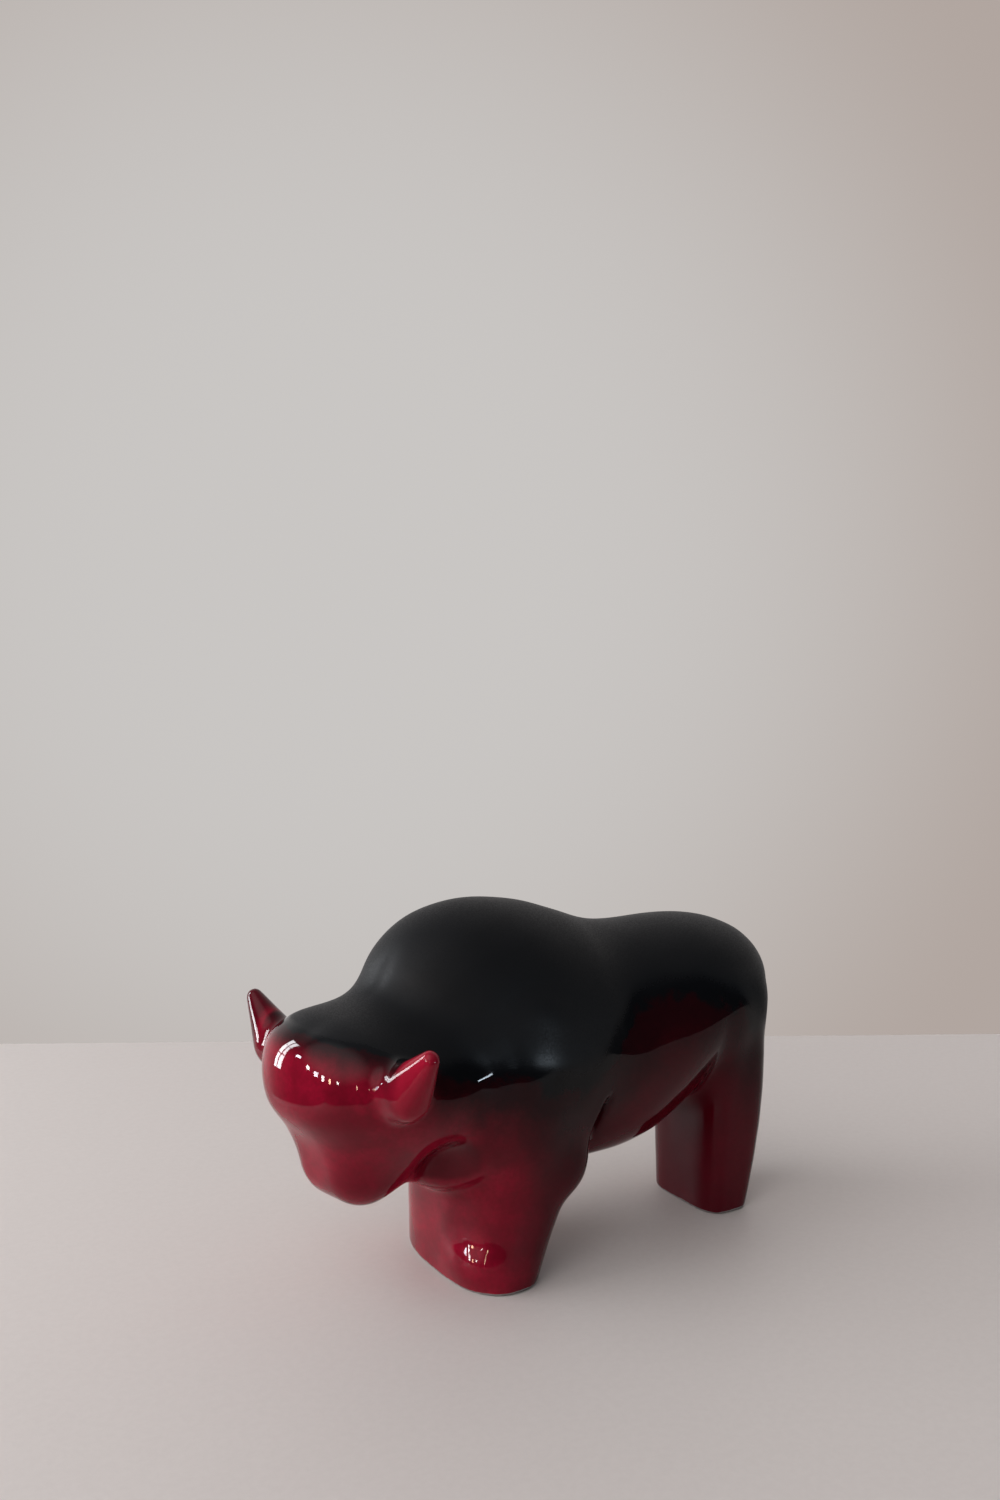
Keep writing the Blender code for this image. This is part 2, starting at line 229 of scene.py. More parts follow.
def step_up(t):
    """0 below 0, 1 above 1, and t squared times (3 - 2 t) between."""
    t = np.clip(t, 0.0, 1.0)
    return t * t * (3.0 - 2.0 * t)


def slit(p):
    """Shares (0 to 1) of a narrow valley and of a step behind it, along a slanting line: the valley
    is a bell curve across the line, the step fades as an exponential further back."""
    x, y, z = p.T
    rise = (z - SLIT_FOOT[1]) / (SLIT_TOP[1] - SLIT_FOOT[1])
    behind = x - SLIT_FOOT[0] - (SLIT_TOP[0] - SLIT_FOOT[0]) * rise
    there = step_up(SLIT_END - SLIT_END * rise) * step_up((z - SLIT_FROM[0]) / SLIT_FROM[1])
    there = there * step_up((np.abs(y) - SLIT_SIDE[0]) / SLIT_SIDE[1])
    valley = np.exp(-(behind / SLIT_WIDTH) ** 2)
    step = step_up(0.5 + behind / SLIT_STEP_WIDTH) * np.exp(-np.maximum(behind, 0.0) / SLIT_FADE)
    return there * valley, there * step


def marks(p, h):
    """Depth of all marks: round ones that fall off as a bell curve, the groove and its step, the bar
    of the brow, and two slow waves, each the product of two sines."""
    depth = np.zeros(len(p))
    for at, radii, deep in DENTS:
        q = (p - np.array(at)) / np.array(radii)
        depth += deep * np.exp(-(q * q).sum(axis=1))
    valley, step = slit(p)
    depth += SLIT_DEPTH * valley + SLIT_STEP * step
    q = (h - np.array(BROW_BAR_AT)) / np.array(BROW_BAR_R)
    depth -= BROW_BAR_HIGH * np.exp(-(q * q).sum(axis=1))
    for high, (turn_a, start_a), (turn_b, start_b) in WAVES:
        depth += high * np.sin(p @ np.array(turn_a) + start_a) * np.sin(p @ np.array(turn_b) + start_b)
    return depth


# %% Rule for the whole skin
def skin(points):
    """Distance to the finished bull, in metres: all masses joined by smooth unions, the marks
    pressed in, and the ground taken off with a small rounding at the foot."""
    p = points / U
    h = turned_to_head(p)
    pressed = marks(p, h)
    p[:, 1] = np.abs(p[:, 1])    # the masses are alike on both sides, the marks are not
    h[:, 1] = np.abs(h[:, 1])
    middle = blend(egg(p, BARREL_AT, BARREL_R), egg(p, BELLY_AT, BELLY_R), BELLY_FILLET)
    body = blend(egg(p, HUMP_AT, HUMP_R, HUMP_TILT), egg(p, CHEST_AT, CHEST_R), CHEST_FILLET)
    body = blend(body, middle, BARREL_FILLET)
    body = blend(body, egg(p, RUMP_AT, RUMP_R), RUMP_FILLET)
    body = blend(body, egg(p, SHOULDER_AT, SHOULDER_R), SHOULDER_FILLET)
    body = blend(body, egg(p, NECK_AT, NECK_R), NECK_SIDE_FILLET)
    elbow = egg(p - np.array([0.0, ELBOW_SIDE, 0.0]), ELBOW_AT, ELBOW_R)
    body = blend(body, blend(leg_block(p, **FORE), elbow, ELBOW_FILLET), fore_fillet(p))
    body = blend(body, leg_block(p, **HIND), HIND_FILLET)
    flat = h.copy()
    flat[:, 1] = np.maximum(h[:, 1] - MUZZLE_FLAT, 0.0)
    snout = tapered_rod(flat, (MUZZLE_ROOT[0], 0, MUZZLE_ROOT[1]), (MUZZLE_AT[0], 0, MUZZLE_AT[1]),
                        MUZZLE_ROOT_R, MUZZLE_R)
    head = blend(egg(h, BROW_AT, BROW_R, BROW_TILT), snout, SNOUT_FILLET)
    body = blend(body, head, NECK_FILLET)
    horn = tapered_rod(h, HORN_ROOT, HORN_TIP, HORN_ROOT_R, HORN_TIP_R, HORN_FLATTEN)
    whole = blend(body, horn, HORN_FILLET) + pressed
    return U * -blend(-whole, p[:, 2], SOLE_EDGE)


def slope(points, reach=0.0002):
    """Slope of the rule by central differences, one column for each axis."""
    out = np.empty_like(points)
    for axis in range(3):
        shift = np.zeros(3)
        shift[axis] = reach
        out[:, axis] = (skin(points + shift) - skin(points - shift)) / (2 * reach)
    return out


def settle(points, steps, longest=0.004, flattest=0.2):
    """Newton steps: each point moves along the slope by its distance over the slope squared, no
    further than longest, and with a slope squared of no less than flattest."""
    for _ in range(steps):
        g = slope(points)
        step = skin(points.copy()) / np.maximum((g * g).sum(axis=1), flattest)
        points = points - np.clip(step, -longest, longest)[:, None] * g
    return points


# %% [markdown]
# ## The masses as surfaces
# The rule alone has no mesh. Each mass is therefore laid out as a grid of two parameters, a lump
# of clay with its own surface. The grids overlap; the next step fuses them.

# %% Grids of two parameters
def grid_faces(rows, columns, start=0):
    """Quads between neighbouring rows of a grid that closes round its columns."""
    i = np.arange(rows - 1)[:, None] * columns
    j = np.arange(columns)[None, :]
    k = (j + 1) % columns
    quads = np.stack([i + j, i + k, i + columns + k, i + columns + j], axis=-1)
    return quads.reshape(-1, 4) + start


def egg_grid(at, radii, tilt=0.0, rows=40, columns=72):
    """Ellipsoid: u runs from the south pole to the north pole and v once round, and the point is
    (cos u cos v, cos u sin v, sin u) times the radii, tilted, then moved to its place."""
    u = np.linspace(-0.4999 * math.pi, 0.4999 * math.pi, rows)[:, None]
    v = np.linspace(0.0, 2 * math.pi, columns, endpoint=False)[None, :]
    x = radii[0] * np.cos(u) * np.cos(v)
    y = radii[1] * np.cos(u) * np.sin(v)
    z = radii[2] * np.sin(u) * np.ones_like(v)
    c, s = math.cos(tilt), math.sin(tilt)
    return np.stack([at[0] + c * x + s * z, y, at[1] - s * x + c * z], axis=-1).reshape(-1, 3), rows, columns


def leg_grid(front, rear, slopes, flare, knee, half_width, spread, square, top, rows=30, columns=72):
    """Leg block: u is the height from the ground to the top and v runs once round the oblong.
    The radius towards v is one over the power mean of the cosine and sine of v."""
    z = np.linspace(0.0, top, rows)[:, None]
    v = np.linspace(0.0, 2 * math.pi, columns, endpoint=False)[None, :]
    fore, aft = leg_faces(z, front, rear, slopes, flare, knee)
    c, s = np.cos(v), np.sin(v)
    k = (np.abs(c) ** square + np.abs(s) ** square) ** (-1 / square)
    x = 0.5 * (fore + aft) + 0.5 * (aft - fore) * c * k
    y = (half_width + spread * z) * s * k
    return np.stack([x, y, z * np.ones_like(v)], axis=-1).reshape(-1, 3), rows, columns


def rod_grid(start, end, r_start, r_end, rows=36, columns=40):
    """A round profile carried along a straight path. u runs past both ends: there the radius
    closes as the square root of what a ball leaves, between them it goes evenly from one to the
    other. v runs once round the profile."""
    a, b = np.array(start, float), np.array(end, float)
    long = np.linalg.norm(b - a)
    ahead = (b - a) / long
    side = np.cross(ahead, (1.0, 0.0, 0.0))
    side /= np.linalg.norm(side)
    up = np.cross(ahead, side)
    u = -r_start + (long + r_start + r_end) * 0.5 * (1 - np.cos(np.linspace(0.02, math.pi - 0.02, rows)))
    r = r_start + (r_end - r_start) * np.clip(u / long, 0, 1)
    over = np.where(u < 0, u / r_start, np.where(u > long, (u - long) / r_end, 0.0))
    r = r * np.sqrt(np.maximum(1.0 - over * over, 1e-4))
    v = np.linspace(0.0, 2 * math.pi, columns, endpoint=False)
    ring = np.cos(v)[None, :, None] * side + np.sin(v)[None, :, None] * up
    return (a + u[:, None, None] * ahead + r[:, None, None] * ring).reshape(-1, 3), rows, columns


# %% Join the grids into one blank
def joined(grids):
    """One list of points and one of faces from several grids, each closed by a disc at its ends."""
    points, quads, discs, start = [], [], [], 0
    for p, rows, columns in grids:
        points.append(p)
        quads.append(grid_faces(rows, columns, start))
        discs.append(list(range(start, start + columns))[::-1])
        discs.append(list(range(start + (rows - 1) * columns, start + rows * columns)))
        start += len(p)
    return np.concatenate(points), np.concatenate(quads).tolist() + discs


def on_head(p):
    """Places in the head's own frame, brought to the body's: the reverse of turned_to_head."""
    c, s = math.cos(-HEAD_TURN), math.sin(-HEAD_TURN)
    x, y = p[:, 0] - NECK_X, p[:, 1]
    return np.stack([NECK_X + c * x - s * y, s * x + c * y, p[:, 2]], axis=1)


head_grids = [
    egg_grid(BROW_AT, BROW_R, BROW_TILT),
    rod_grid((MUZZLE_ROOT[0], 0, MUZZLE_ROOT[1]), (MUZZLE_AT[0], 0, MUZZLE_AT[1]), MUZZLE_ROOT_R, MUZZLE_R),
]
for side in (-1, 1):
    (rx, ry, rz), (tx, ty, tz) = HORN_ROOT, HORN_TIP
    head_grids.append(rod_grid((rx, side * ry, rz), (tx, side * ty, tz), HORN_ROOT_R, HORN_TIP_R))
blank_points, blank_faces = joined([
    egg_grid(HUMP_AT, HUMP_R, HUMP_TILT), egg_grid(CHEST_AT, CHEST_R), egg_grid(BARREL_AT, BARREL_R),
    egg_grid(BELLY_AT, BELLY_R), egg_grid(RUMP_AT, RUMP_R), egg_grid(NECK_AT, NECK_R),
    egg_grid(SHOULDER_AT, SHOULDER_R), leg_grid(**FORE), leg_grid(**HIND),
    *[(on_head(p), rows, columns) for p, rows, columns in head_grids],
])
mesh = bpy.data.meshes.new("bull_skin")
mesh.from_pydata((blank_points * U).tolist(), [], blank_faces)
mesh.validate()
bull = bpy.data.objects.new("bull_skin", mesh)
bpy.context.scene.collection.objects.link(bull)
print("blank:", len(mesh.vertices), "points,", len(mesh.polygons), "faces")

# %% [markdown]
# ## Fuse and settle
# A voxel remesh turns the overlapping lumps into one closed even mesh, as wet clay fuses when it is
# pressed. It leaves small steps, so every point is then moved along the slope of the rule until
# it lies on the skin. The same slope gives the exact normals, so that the gloss runs without facets.

# %% Fuse and settle
VOXEL = 0.0014            # metres; fine enough for the horn tips and the groove
SETTLE_STEPS = 9

fuse = bull.modifiers.new("Fuse the masses", 'REMESH')
fuse.mode = 'VOXEL'
fuse.voxel_size = VOXEL
graph = bpy.context.evaluated_depsgraph_get()
fused = bpy.data.meshes.new_from_object(bull.evaluated_get(graph))
bull.modifiers.clear()
bull.data = fused
bpy.data.meshes.remove(mesh)
fused.name = "bull_skin"

places = np.empty(len(fused.vertices) * 3)
fused.vertices.foreach_get("co", places)
drawn = settle(places.reshape(-1, 3), SETTLE_STEPS)
middle = 0.5 * (drawn.min(axis=0) + drawn.max(axis=0))
middle[2] = 0.0
placed = drawn - middle
fused.vertices.foreach_set("co", placed.ravel())
fused.update()
fused.shade_smooth()
outward = slope(drawn, 0.0001)
outward /= np.maximum(np.linalg.norm(outward, axis=1, keepdims=True), 1e-9)
fused.normals_split_custom_set_from_vertices(outward.tolist())
print("skin:", len(fused.vertices), "points,", len(fused.polygons), "faces; size mm",
      (1000 * (placed.max(axis=0) - placed.min(axis=0))).round(1), "off the rule by at most mm",
      round(1000 * float(np.abs(skin(drawn.copy())).max()), 3), "moved by mm", (1000 * middle).round(2))

# %% [markdown]
# ## Where the black glaze ends
# The black was laid over the red from above. Its edge crosses the brow, dips low over the elbow,
# climbs in an arch on the flank and falls again behind the rump; the horns stay red. A vertex
# attribute holds how far each point lies above that edge, so the pattern follows the surface and the
# material can soften it. Two more attributes hold where the red is thin or thick, with painted shade
# under the jaw and partly towards the rear, and where the red is darker in the groove behind the elbow.

# %% Glaze edge as an attribute
EDGE = ((-140.0, 150.0), (-104.0, 136.0), (-96.0, 129.0), (-86.0, 126.5), (-72.0, 124.5), (-50.0, 114.0),
        (-30.0, 108.0), (-9.0, 103.0), (12.0, 97.0), (28.0, 90.0), (40.0, 93.0), (52.0, 105.0),
        (68.0, 118.0), (88.0, 123.0), (110.0, 121.0), (130.0, 113.0), (147.0, 95.0), (170.0, 75.0))
FADE = ((-100.0, 6.0), (-60.0, 9.0), (-20.0, 24.0), (20.0, 34.0), (60.0, 34.0), (100.0, 30.0),
        (150.0, 30.0))    # along, and the number of units over which the edge fades there
HORN_OUT, HORN_BEFORE = (47.0, 7.0), (-44.0, 8.0)    # the horns: outwards and forwards of these
HORN_RED = 5.0                                       # cover taken off the horns
NEAR_HORN, FAR_HORN = 0.42, -0.8                     # thin and bright, thick and dark
RUBBED_AT, RUBBED_R = (12.0, -55.0, 112.0), (24.0, 20.0, 12.0)
# painted shade and dark reflection in the hollow under the jaw: the red is darkened inside this ellipsoid
JAW_SHADE_AT, JAW_SHADE_R = (-31.0, -32.0, 67.0), (19.0, 22.0, 15.0)
JAW_PAINTED_SHADE, JAW_SHADE_EDGE = 0.6, (1.1, 0.35)          # taken off inside this reach, over this fade
# darker red towards the rear: partly a browner glaze, partly painted shade where less light reaches
REAR_BROWN_AND_SHADE, REAR_FROM = 0.75, (-15.0, 36.0)           # taken off behind this place, over this length


def line_at(x, pairs):
    """The value on the straight line between the two pairs (knot, value) on either side of x."""
    knots, values = zip(*pairs)
    k = np.clip(np.searchsorted(knots, x) - 1, 0, len(knots) - 2)
    a, b = np.take(knots, k), np.take(knots, k + 1)
    start, end = np.take(values, k), np.take(values, k + 1)
    return start + (end - start) * np.clip((x - a) / (b - a), 0, 1)


# %% Fill the attributes
def egg_reach(p, at, radii):
    """Length of (point less centre) over the radii: 1 on the ellipsoid, less inside it."""
    return np.linalg.norm((p - np.array(at)) / np.array(radii), axis=1)


def keep(name, values):
    """Store one number a point as an attribute that the material reads."""
    fused.attributes.new(name, 'FLOAT', 'POINT').data.foreach_set("value", values.astype(np.float32))


units = drawn / U
along, across, up = units.T
head_across = np.abs(turned_to_head(units)[:, 1])
horns = step_up((head_across - HORN_OUT[0]) / HORN_OUT[1])
horns *= step_up((HORN_BEFORE[0] - along) / HORN_BEFORE[1])
black = 0.5 + (up - line_at(along, EDGE)) / line_at(along, FADE) - HORN_RED * horns
thin_thick_and_shade = horns * np.where(across < 0, NEAR_HORN, FAR_HORN) + np.exp(-egg_reach(units, RUBBED_AT, RUBBED_R) ** 2)
# darker towards the rear: partly browner glaze, partly painted shade
thin_thick_and_shade -= REAR_BROWN_AND_SHADE * step_up((along - REAR_FROM[0]) / REAR_FROM[1])
# painted shade under the jaw
thin_thick_and_shade -= JAW_PAINTED_SHADE * step_up((JAW_SHADE_EDGE[0] - egg_reach(units, JAW_SHADE_AT, JAW_SHADE_R)) / JAW_SHADE_EDGE[1])
keep("black_cover", np.clip(black, -4.0, 2.0))
keep("thin_thick_and_shade", np.clip(thin_thick_and_shade, -1.0, 1.0))
# where the red is darker along the groove behind the elbow
keep("in_groove", slit(units)[0])
print("share of the skin under black: %.2f" % float((black > 0.5).mean()))


# %% [markdown]
# ## Effects as node groups
# Two effects are used by several finishes, so they are groups with named inputs: a mottled
# change of tone, and the faint orange peel that a fired glaze or a painted board keeps.

# %% Node helpers
def add(tree, kind, inputs=None, **settings):
    """A node with its settings, and its inputs set to numbers or linked to sockets."""
    node = tree.nodes.new(kind)
    for name, value in settings.items():
        setattr(node, name, value)
    for key, value in (inputs or {}).items():
        if isinstance(value, bpy.types.NodeSocket):
            tree.links.new(value, node.inputs[key])
        else:
            node.inputs[key].default_value = value
    return node


def calc(tree, operation, a, b=0.0, c=0.0):
    """The result of one Math node."""
    return add(tree, "ShaderNodeMath", {0: a, 1: b, 2: c}, operation=operation).outputs[0]


def read(tree, name):
    """The value of a vertex attribute."""
    return add(tree, "ShaderNodeAttribute", attribute_name=name).outputs["Fac"]


def between(tree, value, low, high, start=0.0, end=1.0):
    """value carried from low..high to start..end, eased at both ends."""
    return add(tree, "ShaderNodeMapRange", {0: value, 1: low, 2: high, 3: start, 4: end},
               interpolation_type='SMOOTHSTEP').outputs[0]


def mixed(tree, share, a, b):
    """Colour a at share 0, colour b at share 1."""
    node = add(tree, "ShaderNodeMix", data_type='RGBA')
    for socket, value in ((node.inputs[0], share), (node.inputs[6], a), (node.inputs[7], b)):
        if isinstance(value, bpy.types.NodeSocket):
            tree.links.new(value, socket)
        else:
            socket.default_value = value
    return node.outputs[2]


def noise(tree, vector, scale, detail=2.0, roughness=0.5):
    """Noise from 0 to 1 on the given coordinates."""
    return add(tree, "ShaderNodeTexNoise", {"Vector": vector, "Scale": scale, "Detail": detail,
                                            "Roughness": roughness}).outputs["Fac"]


def new_group(name, inputs, outputs):
    """An empty shader group with float inputs (name, default) and float outputs."""
    tree = bpy.data.node_groups.new(name, 'ShaderNodeTree')
    tree.interface.new_socket("Place", in_out='INPUT', socket_type='NodeSocketVector')
    for title, value in inputs:
        tree.interface.new_socket(title, in_out='INPUT', socket_type='NodeSocketFloat').default_value = value
    for title in outputs:
        tree.interface.new_socket(title, in_out='OUTPUT', socket_type='NodeSocketFloat')
    return tree, tree.nodes.new("NodeGroupInput"), tree.nodes.new("NodeGroupOutput")


def use(tree, group, **inputs):
    """Place a group in a material and give it its values."""
    node = tree.nodes.new("ShaderNodeGroup")
    node.node_tree = group
    for name, value in inputs.items():
        socket = node.inputs[name.replace("_", " ")]
        if isinstance(value, bpy.types.NodeSocket):
            tree.links.new(value, socket)
        else:
            socket.default_value = value
    return node


# %% Group: mottling
mottle, put, get = new_group("Mottling", [("Patch scale", 40.0), ("Fleck scale", 300.0)],
                             ["Patches", "Flecks"])
patches = noise(mottle, put.outputs["Place"], put.outputs["Patch scale"], 3.0, 0.55)
flecks = noise(mottle, put.outputs["Place"], put.outputs["Fleck scale"], 4.0, 0.65)
mottle.links.new(between(mottle, patches, 0.30, 0.70), get.inputs["Patches"])
mottle.links.new(between(mottle, flecks, 0.30, 0.70), get.inputs["Flecks"])

# %% Group: orange peel
peel, put, get = new_group("Orange peel", [("Wave scale", 120.0), ("Grain scale", 900.0),
                                           ("Grain share", 0.3)], ["Height"])
wave = noise(peel, put.outputs["Place"], put.outputs["Wave scale"], 1.0)
grain = noise(peel, put.outputs["Place"], put.outputs["Grain scale"], 2.0)
peel.links.new(calc(peel, 'MULTIPLY_ADD', grain, put.outputs["Grain share"], wave), get.inputs["Height"])
print("groups:", [g.name for g in bpy.data.node_groups])

# %% [markdown]
# ## The two glazes and the bare foot
# Oxblood is a copper red: bright crimson where it is thin, nearly brown where it is thick. The dark
# red is also painted shade under the jaw and, with a browner glaze, towards the rear, and it is
# darker still in the groove behind the elbow. The black on top is satin, with a ragged and finely
# speckled edge where it sank into the red. At the feet the glaze was wiped off before firing, and a
# thin grey line of clay is left.
# One material holds all three, because on the real piece they run into each other.

# %% Colours and gloss of the glazes
RED, RED_PATCH = (0.33, 0.006, 0.028, 1.0), (0.18, 0.004, 0.016, 1.0)
RED_FLECK = (0.12, 0.005, 0.010, 1.0)
# the thick red also serves as painted shade under the jaw and towards the rear
RED_THIN, RED_THICK_AND_SHADE = (0.50, 0.016, 0.045, 1.0), (0.07, 0.002, 0.007, 1.0)
# the groove colour is a nearly black red laid along the groove behind the elbow
RED_UNDER_BLACK, RED_IN_GROOVE = (0.022, 0.003, 0.005, 1.0), (0.010, 0.002, 0.003, 1.0)
BLACK = (0.0055, 0.0062, 0.0078, 1.0)
CLAY, CLAY_FLECK = (0.22, 0.20, 0.20, 1.0), (0.34, 0.31, 0.30, 1.0)
GLOSS, SATIN, BARE = 0.034, 0.56, 0.85               # roughness of the red, the black and the clay
RAGGED_PATCH, RAGGED_FLECK = 0.26, 0.10              # how far patches and flecks move the edge
CLAY_LOW, CLAY_WAVE = 0.0012, 0.0008                 # metres of bare clay above the table
print("the thin red is %.1f times as red as the thick" % (RED_THIN[0] / RED_THICK_AND_SHADE[0]))

# %% [markdown]
# ## Where each glaze shows
# The height above the black edge becomes three masks. The first is ragged, moved by patches and
# flecks, and says where black covers red. The second, slower, says where the gloss turns to satin.
# The third reaches far below the edge, where red under a thin film of black looks brown. A fourth
# is the line of bare clay, measured from the table, with an uneven top.

# %% Masks of the glaze
glaze = bpy.data.materials.new("Oxblood and satin black glaze")
glaze.use_nodes = True
tree = glaze.node_tree
tree.nodes.clear()
place = add(tree, "ShaderNodeTexCoord").outputs["Object"]
height = add(tree, "ShaderNodeSeparateXYZ", {0: place}).outputs["Z"]
cover, red_thin_thick_and_shade, in_groove = (read(tree, name) for name in ("black_cover", "thin_thick_and_shade", "in_groove"))
tone = use(tree, mottle, Place=place, Patch_scale=34.0, Fleck_scale=420.0)
edge = use(tree, mottle, Place=place, Patch_scale=75.0, Fleck_scale=1400.0)
patches, flecks = tone.outputs["Patches"], tone.outputs["Flecks"]

ragged = cover
for name, share in (("Patches", RAGGED_PATCH), ("Flecks", RAGGED_FLECK)):
    ragged = calc(tree, 'MULTIPLY_ADD', calc(tree, 'SUBTRACT', edge.outputs[name], 0.5), share, ragged)
is_black = between(tree, ragged, 0.40, 0.58)
is_satin = between(tree, cover, 0.42, 1.2)
is_under_black = between(tree, ragged, -1.3, 0.35)
clay_line = calc(tree, 'MULTIPLY_ADD', edge.outputs["Patches"], CLAY_WAVE, CLAY_LOW)
is_clay = between(tree, calc(tree, 'SUBTRACT', clay_line, height), -0.0002, 0.0002)
print("nodes for the masks:", len(tree.nodes))

# %% [markdown]
# ## Colour, gloss and relief
# The reds are laid over each other from the ground tone to the darker line in the groove, then the
# black and the clay; the dark red also stands for painted shade under the jaw and partly towards the
# rear. The rubbed places are glossier, the flecks vary the gloss a little, and the orange peel bends
# the reflections. A coat layer could give the gloss, but the glaze is the surface itself.

# %% Colour of the glaze
red = mixed(tree, patches, RED, RED_PATCH)
red = mixed(tree, calc(tree, 'MULTIPLY', flecks, 0.35), red, RED_FLECK)
red = mixed(tree, between(tree, red_thin_thick_and_shade, 0.0, 1.0), red, RED_THIN)
# thick red, and painted shade under the jaw and towards the rear
red = mixed(tree, between(tree, red_thin_thick_and_shade, 0.0, -1.0), red, RED_THICK_AND_SHADE)
red = mixed(tree, is_under_black, red, RED_UNDER_BLACK)
# darker red along the groove behind the elbow
red = mixed(tree, between(tree, in_groove, 0.05, 0.6), red, RED_IN_GROOVE)
colour = mixed(tree, is_black, red, BLACK)
colour = mixed(tree, is_clay, colour, mixed(tree, flecks, CLAY, CLAY_FLECK))

# %% Gloss and relief of the glaze
rubbed = calc(tree, 'MULTIPLY_ADD', between(tree, red_thin_thick_and_shade, 0.0, 1.0), -0.6, 1.0)
speckle = calc(tree, 'MULTIPLY_ADD', edge.outputs["Flecks"], 0.4, 0.8)
rough = between(tree, is_satin, 0.0, 1.0, GLOSS, SATIN)
rough = calc(tree, 'MULTIPLY', calc(tree, 'MULTIPLY', rough, rubbed), speckle)
rough = calc(tree, 'MAXIMUM', rough, calc(tree, 'MULTIPLY', is_clay, BARE))

skin_height = use(tree, peel, Place=place, Wave_scale=110.0, Grain_scale=1500.0,
                  Grain_share=0.05).outputs["Height"]
bump = add(tree, "ShaderNodeBump", {"Height": skin_height, "Strength": 0.06, "Distance": 0.001}).outputs[0]
surface = add(tree, "ShaderNodeBsdfPrincipled", {"Base Color": colour, "Roughness": rough, "Normal": bump,
                                                "IOR": 1.25})
add(tree, "ShaderNodeOutputMaterial", {"Surface": surface.outputs[0]})
fused.materials.clear()
fused.materials.append(glaze)
print("glaze nodes:", len(tree.nodes))

# %% [markdown]
# ## Hand the skin over
# The mesh rides on the part's one body and stands in for its one node.

# %% Hand the skin over
bull["about"] = "slip-cast and glazed skin of the bull"
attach(bull, "root")
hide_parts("bull")
print("the skin stands in for the node bull")

# %% [markdown]
# ## Table, room and light
# The bull stands on a plain pale table top. Behind it is a pale wall, the rest of the room is dim, and
# soft daylight comes in from the left through a window. A glossy glaze shows all of that, so the
# room matters as much as the lamp: the world is pale ahead of the camera, bright up on the left and
# dim behind. A picture of a real room could light it too, but a few smooth lobes are enough here.

# %% Table top
TABLE_BACK, TABLE_FRONT, TABLE_LEFT, TABLE_RIGHT = 0.358, 0.30, 0.40, 0.46    # as the camera sees it
TABLE_SKEW = math.radians(-1.9)                      # turn of its edges from the camera's own
BOARD, BOARD_FLECK = (0.76, 0.72, 0.70, 1.0), (0.72, 0.68, 0.66, 1.0)

ahead_edge = math.cos(TABLE_SKEW) * AHEAD + math.sin(TABLE_SKEW) * ASIDE
along_edge = Vector((ahead_edge.y, -ahead_edge.x, 0.0))
corners = [a * ahead_edge + s * along_edge
           for a, s in ((-TABLE_FRONT, -TABLE_LEFT), (-TABLE_FRONT, TABLE_RIGHT),
                        (TABLE_BACK, TABLE_RIGHT), (TABLE_BACK, -TABLE_LEFT))]
top = bpy.data.meshes.new("table_top")
top.from_pydata([tuple(c) for c in corners], [], [(0, 1, 2, 3)])
table = bpy.data.objects.new("table_top", top)
bpy.context.scene.collection.objects.link(table)
paint = bpy.data.materials.new("Pale painted board")
paint.use_nodes = True
tree = paint.node_tree
tree.nodes.clear()
place = add(tree, "ShaderNodeTexCoord").outputs["Object"]
tone = use(tree, mottle, Place=place, Patch_scale=5.0, Fleck_scale=250.0)
board = mixed(tree, calc(tree, 'MULTIPLY', tone.outputs["Flecks"], 0.5), BOARD, BOARD_FLECK)
grain = use(tree, peel, Place=place, Wave_scale=300.0, Grain_scale=1200.0, Grain_share=0.5).outputs["Height"]
bump = add(tree, "ShaderNodeBump", {"Height": grain, "Strength": 0.05, "Distance": 0.001}).outputs[0]
surface = add(tree, "ShaderNodeBsdfPrincipled", {"Base Color": board, "Roughness": 0.55, "Normal": bump})
add(tree, "ShaderNodeOutputMaterial", {"Surface": surface.outputs[0]})
top.materials.append(paint)
print("table corners, m:", [tuple(round(v, 2) for v in c[:2]) for c in corners])

# %% Room
def towards(azimuth, elevation, distance):
    """A point at that azimuth and elevation from the bull, in degrees: 0 looks from -Y, -90 from -X."""
    a, e = math.radians(azimuth), math.radians(elevation)
    return Vector((math.sin(a) * math.cos(e), -math.cos(a) * math.cos(e), math.sin(e))) * distance


GLOW_WAY = (AHEAD * 0.97 - ASIDE * 0.12 + Vector((0, 0, 0.03))).normalized()
LEFT_WAY = towards(-80.0, 40.0, 1.0)
WALL, WALL_GLOW, WALL_MIRRORED = (0.44, 0.38, 0.35, 1.0), (0.585, 0.565, 0.55, 1.0), (0.82, 0.78, 0.77, 1.0)
DIM, CEILING, LEFT_ROOM = (0.035, 0.037, 0.042, 1.0), (0.30, 0.30, 0.31, 1.0), (1.70, 1.62, 1.60, 1.0)


def facing(tree, way, middle):
    """Cosine of the angle between the ray and the middle of a lobe."""
    return add(tree, "ShaderNodeVectorMath", {0: way, 1: middle}, operation='DOT_PRODUCT').outputs["Value"]


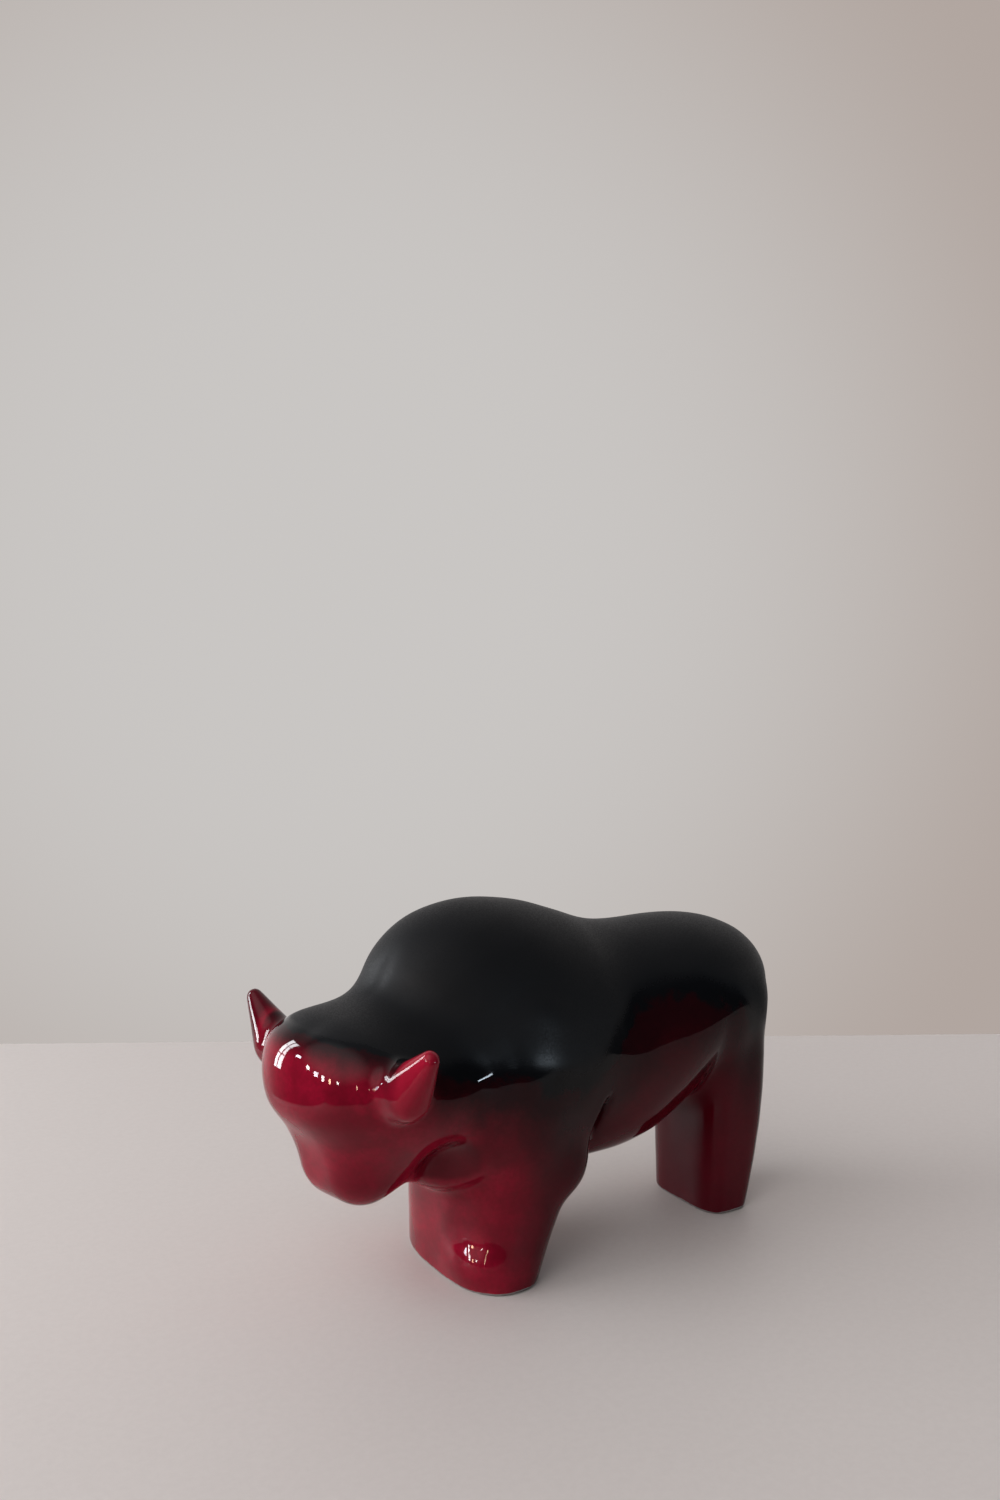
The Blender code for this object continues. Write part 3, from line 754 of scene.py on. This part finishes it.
room = bpy.data.worlds.new("room")
bpy.context.scene.world = room
room.use_nodes = True
tree = room.node_tree
tree.nodes.clear()
way = add(tree, "ShaderNodeTexCoord").outputs["Generated"]
lift = add(tree, "ShaderNodeSeparateXYZ", {0: way}).outputs["Z"]
rays = add(tree, "ShaderNodeLightPath").outputs
wall = mixed(tree, between(tree, facing(tree, way, GLOW_WAY), 0.86, 1.0), WALL, WALL_GLOW)
behind = mixed(tree, between(tree, lift, 0.35, 0.9), DIM, CEILING)
mirrored_wall = mixed(tree, rays["Is Glossy Ray"], wall, WALL_MIRRORED)
tone = mixed(tree, between(tree, facing(tree, way, AHEAD), 0.05, 0.75), behind, mirrored_wall)
tone = mixed(tree, between(tree, facing(tree, way, LEFT_WAY), 0.72, 0.95), tone, LEFT_ROOM)
tone = mixed(tree, rays["Is Camera Ray"], tone, wall)
light = add(tree, "ShaderNodeBackground", {"Color": tone, "Strength": 1.0})
add(tree, "ShaderNodeOutputWorld", {"Surface": light.outputs[0]})
print("room nodes:", len(tree.nodes))


# %% [markdown]
# ## Windows
# The glaze mirrors one tall window of two by three panes on the brow, a row of small bright things on
# the brow and the toe, and a long narrow window on the shoulder. These lamps only show in gloss. One
# wide soft lamp that shows in no gloss does the lighting, so each can be set by itself.

# %% Windows
COOL, NEUTRAL, FAR_BLUE = (0.93, 0.97, 1.0), (0.98, 0.99, 1.0), (0.75, 0.88, 1.0)
PALE_BLUE, PALE_WARM = (0.85, 0.90, 1.0), (1.0, 0.97, 0.94)
CHEST_HIGH, FEET_HIGH = Vector((0, 0, 0.1)), Vector((0, 0, 0.05))    # what the lamps face
PANE_WIDE, PANE_HIGH, PANE_STEP, PANE_RISE, PANE_POWER = 0.13, 0.38, 0.17, 0.42, 4.2
SIDE_FAR = 1.2                                       # metres from the bull
SIDE_WINDOWS = (  # azimuth, elevation, width, height, watts, colour
    (-118, 17, 0.10, 0.07, 1.6, PALE_BLUE), (-105, 11, 0.07, 0.10, 1.8, PALE_WARM),
    (-95, 8, 0.10, 0.13, 3.0, PALE_BLUE), (-86, 6, 0.07, 0.16, 2.6, (1.0, 0.98, 0.96)),
    (-78, 5, 0.05, 0.13, 1.8, (1.0, 0.60, 0.38)), (-70, 6, 0.04, 0.08, 0.9, (1.0, 0.95, 0.90)),
    (-52, 5, 0.02, 0.12, 0.5, (1.0, 0.75, 0.50)))


def pane(name, at, target, width, height, power, colour, mirrored=True):
    """A rectangular lamp at a place, turned to face a target. A mirrored one only shows in the
    gloss; the other kind only lights what is matt."""
    data = bpy.data.lights.new(name, 'AREA')
    data.shape, data.size, data.size_y = 'RECTANGLE', width, height
    data.energy, data.color = power, colour
    lamp = bpy.data.objects.new(name, data)
    lamp.location = at
    lamp.rotation_euler = (target - at).to_track_quat('-Z', 'Y').to_euler()
    lamp.visible_camera = False
    lamp.visible_diffuse, lamp.visible_glossy = not mirrored, mirrored
    bpy.context.scene.collection.objects.link(lamp)


window = towards(-138.0, 15.0, 1.8)
window_right = window.cross(Vector((0, 0, 1))).normalized()
for column in range(2):
    for row in range(3):
        at = window + window_right * (column - 0.5) * PANE_STEP + Vector((0, 0, (row - 1) * PANE_RISE))
        pane("window_pane_%d_%d" % (column, row), at, CHEST_HIGH, PANE_WIDE, PANE_HIGH, PANE_POWER, COOL)
pane("far_window", towards(19.0, 1.0, 1.3) + Vector((0, 0, 0.11)), CHEST_HIGH, 0.66, 0.045, 5.0, FAR_BLUE)
for column, (azimuth, elevation, wide, high, power, colour) in enumerate(SIDE_WINDOWS):
    pane("side_window_%d" % column, towards(azimuth, elevation, SIDE_FAR) + FEET_HIGH, FEET_HIGH, wide, high,
         power, colour)
pane("daylight", towards(-113.0, 18.0, 1.5), FEET_HIGH, 1.1, 0.6, 11.0, NEUTRAL, mirrored=False)
